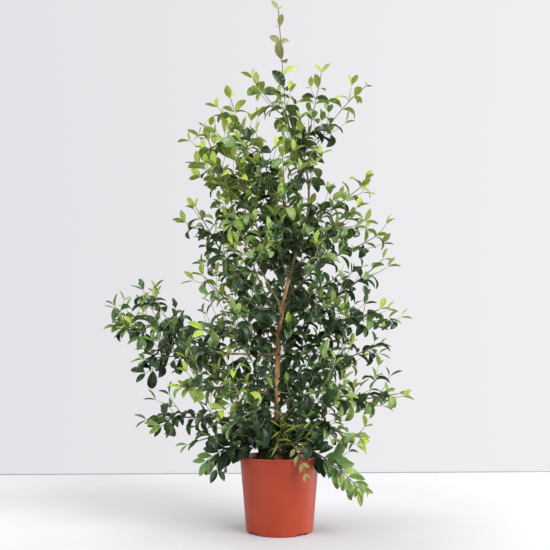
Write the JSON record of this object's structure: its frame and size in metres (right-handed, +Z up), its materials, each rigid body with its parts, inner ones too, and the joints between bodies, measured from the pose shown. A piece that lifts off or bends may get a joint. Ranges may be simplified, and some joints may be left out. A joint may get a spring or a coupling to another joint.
{
  "type": "potted brush cherry",
  "caption": "Young evergreen brush cherry with a swaying trunk, spreading boughs and a loose conical crown of small glossy leaves, in a plain terracotta-coloured plastic nursery pot.",
  "frame": {"origin": "centre of the pot's flat underside, on the floor", "axes": "+Z up along the pot's axis, +X to the right and -Y towards the viewer in the picture"},
  "size_m": [0.818, 0.6006, 1.4558],
  "materials": {
    "pot": "smooth satin terracotta-coloured plastic",
    "compost": "dark crumbly compost",
    "bark": "tan-brown bark with paler flecks",
    "foliage": "glossy dark green leaves, lighter at the tips"
  },
  "bodies": {
    "root": {"pot": "pot", "soil": "compost", "trunk": "bark", "fork_right_bough": "bark", "inner_up_bough": "bark", "left_inner_bough": "bark", "left_top_bough": "bark", "right_upper_bough": "bark", "left_upper_bough": "bark", "right_mid_up_bough": "bark", "left_far_bough": "bark", "right_mid_bough": "bark", "left_mid_bough": "bark", "back_left_low_bough": "bark", "right_low_bough": "bark", "left_low_bough": "bark", "leader_mass": "foliage", "leader_left_mass": "foliage", "fork_mid_mass": "foliage", "fork_right_mass": "foliage", "top_back_mass": "foliage", "right_shoot_mass": "foliage", "right_back_up_mass": "foliage", "back_up_mass": "foliage", "inner_up_mass": "foliage", "left_inner_mass": "foliage", "front_up_mass": "foliage", "right_fill_mass": "foliage", "left_top_mass": "foliage", "right_high_mass": "foliage", "front_left_high_mass": "foliage", "front_right_mass": "foliage", "back_mid_right_mass": "foliage", "back_mid_mass": "foliage", "front_left_mass": "foliage", "right_upper_mass": "foliage", "front_right_mid_mass": "foliage", "back_mid_left_mass": "foliage", "left_upper_mass": "foliage", "left_shelf_mass": "foliage", "right_mid_up_mass": "foliage", "front_left_mid_mass": "foliage", "left_far_mass": "foliage", "right_mid_mass": "foliage", "left_mid_mass": "foliage", "back_right_low_mass": "foliage", "front_left_near_mass": "foliage", "back_low_mass": "foliage", "back_left_low_mass": "foliage", "front_right_low_mass": "foliage", "front_left_low_mass": "foliage", "right_low_mass": "foliage", "left_low_mass": "foliage", "right_skirt_mass": "foliage", "back_right_skirt_mass": "foliage", "back_left_skirt_mass": "foliage", "right_droop_mass": "foliage", "left_droop_mass": "foliage", "front_droop_mass": "foliage", "left_skirt_mass": "foliage"}
  },
  "joints": []
}
